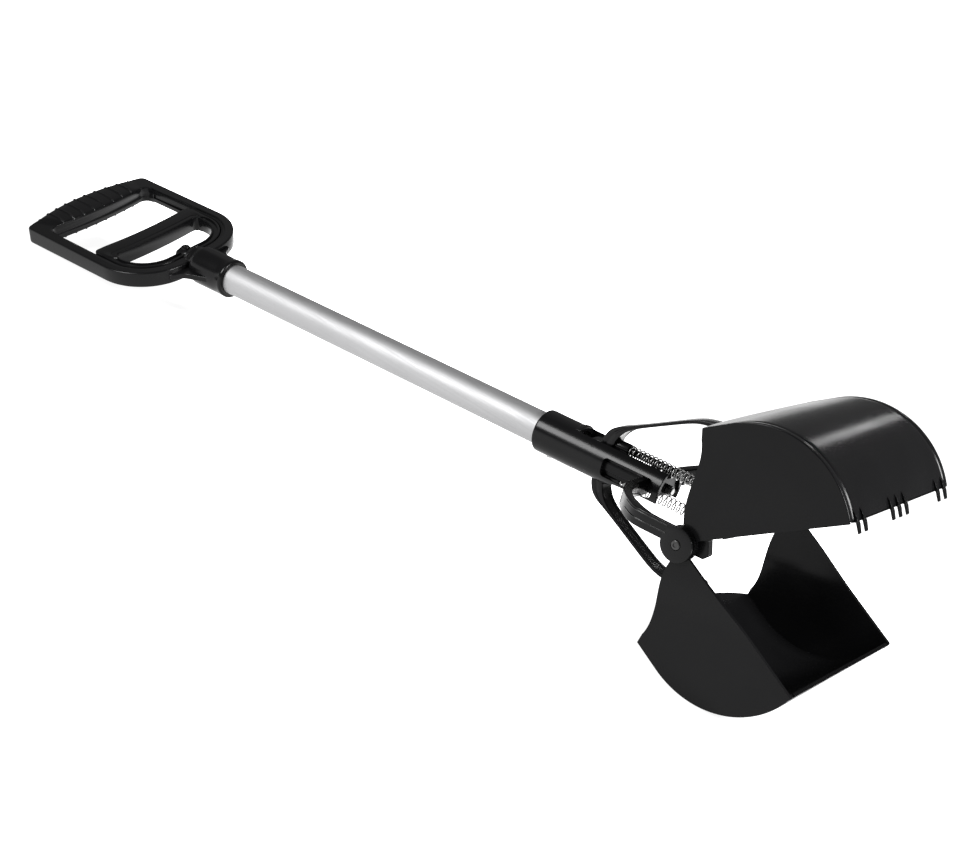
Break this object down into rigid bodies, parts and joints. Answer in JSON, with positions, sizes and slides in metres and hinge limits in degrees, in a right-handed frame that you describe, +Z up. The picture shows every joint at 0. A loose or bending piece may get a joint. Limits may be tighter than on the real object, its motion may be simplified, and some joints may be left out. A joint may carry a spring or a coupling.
{
  "type": "pooper scooper",
  "caption": "Long-handled pet waste scooper: a D-grip with a squeeze trigger on an aluminium tube works two hinged clamshell jaws, which springs reopen.",
  "frame": {"origin": "bottom centre of the bounding box, on the floor the tool lies on", "axes": "+X along the tool from the grip to the jaws, +Y to the far side of the jaws, +Z up"},
  "size_m": [0.7086, 0.1498, 0.1703],
  "materials": {
    "black_plastic": "semi-gloss moulded, with a fine texture",
    "satin_aluminium": "satin anodised",
    "zinc_steel": "bright zinc plate",
    "black_screws": "blackened steel",
    "white_nylon": "natural"
  },
  "bodies": {
    "fixed_frame": {"handle_frame": "black_plastic", "socket_screw": "black_screws", "main_tube": "satin_aluminium", "rear_rod_guide": "white_nylon", "front_rod_guide": "white_nylon", "lower_sleeve": "black_plastic", "sleeve_screw": "black_screws", "upper_link_arm": "black_plastic", "lower_link_arm": "black_plastic", "upper_root_pin": "black_screws", "lower_root_pin": "black_screws", "upper_spring": "zinc_steel", "lower_spring": "zinc_steel"},
    "yoke": {"trigger": "black_plastic", "pull_rod": "zinc_steel", "rod_rear_nut": "zinc_steel", "rod_front_nut": "black_screws", "carriage_rear": "black_plastic", "carriage_front": "black_plastic", "far_yoke_arm": "black_plastic", "near_yoke_arm": "black_plastic", "cross_shaft": "zinc_steel", "near_pivot_screw": "black_screws", "far_pivot_screw": "black_screws", "spring_saddle": "black_plastic"},
    "upper_clamshell": {"upper_jaw": "black_plastic", "upper_link_pin": "zinc_steel"},
    "lower_clamshell": {"lower_jaw": "black_plastic", "lower_link_pin": "zinc_steel"}
  },
  "joints": [
    {"name": "trigger_pull", "type": "slide", "parent": "fixed_frame", "child": "yoke", "axis": [-0.9956, 0, -0.0933], "range_m": [0, 0.0272], "stiffness_N_per_m": 1500, "springref_m": -0.006, "deforming": ["upper_spring", "lower_spring"]},
    {"name": "upper_jaw_hinge", "type": "hinge", "parent": "yoke", "child": "upper_clamshell", "pos_m": [0.25924, 0, 0.08159], "axis": [0, 1, 0], "range_deg": [0, 30.45]},
    {"name": "lower_jaw_hinge", "type": "hinge", "parent": "yoke", "child": "lower_clamshell", "pos_m": [0.25924, 0, 0.08159], "axis": [0, -1, 0], "range_deg": [0, 30.45]}
  ],
  "couplings": [
    {"joint": "upper_jaw_hinge", "follows": "trigger_pull", "rad_per_m": 19.507},
    {"joint": "lower_jaw_hinge", "follows": "trigger_pull", "rad_per_m": 19.507}
  ]
}
